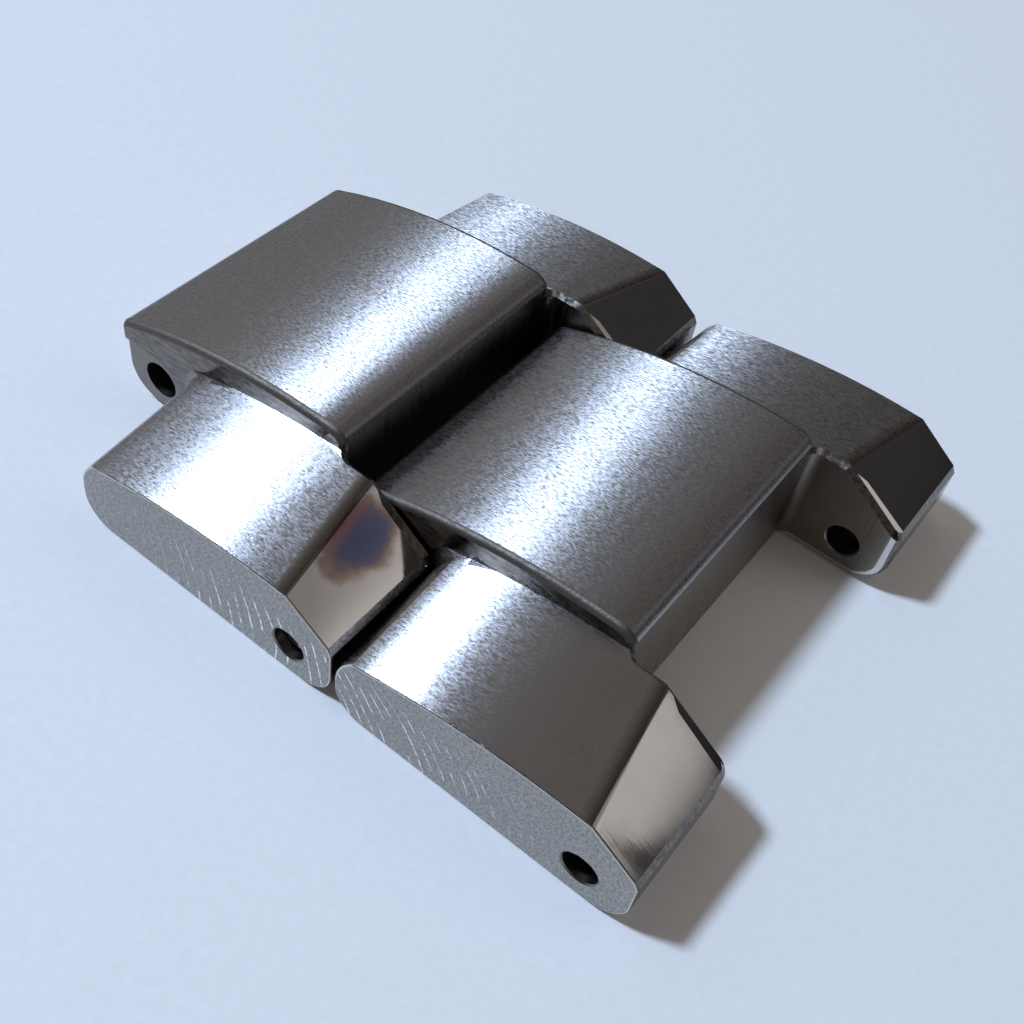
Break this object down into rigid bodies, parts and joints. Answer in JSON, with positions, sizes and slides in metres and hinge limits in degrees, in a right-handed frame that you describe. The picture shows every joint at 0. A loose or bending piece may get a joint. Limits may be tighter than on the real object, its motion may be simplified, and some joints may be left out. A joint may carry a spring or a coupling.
{
  "type": "watch bracelet link",
  "caption": "Short run of a steel watch bracelet: stepped links with a raised centre and faceted side wings, hinged on a pin that split collars grip in the tongue.",
  "frame": {"origin": "middle of the pair of links in plan, on the plane of the wings' undersides, which lie on the wrist", "axes": "+X runs along the bracelet from the free tongue to the free wings, +Y runs along the pin, +Z points away from the wrist"},
  "size_m": [0.0246, 0.02, 0.0051],
  "materials": {
    "link_steel": "brushed tops, mirror-polished facets, fine-milled sides",
    "pin_steel": "centreless-ground",
    "collar_steel": "as drawn"
  },
  "bodies": {
    "first_link": {"first_link": "link_steel"},
    "second_link": {"second_link": "link_steel", "link_pin": "pin_steel", "collar_left": "collar_steel", "collar_right": "collar_steel"}
  },
  "joints": [
    {"name": "link_hinge", "type": "hinge", "parent": "first_link", "child": "second_link", "pos_m": [-0.00012, 0, 0.00135], "axis": [0, 1, 0], "range_deg": [-7, 110]}
  ]
}
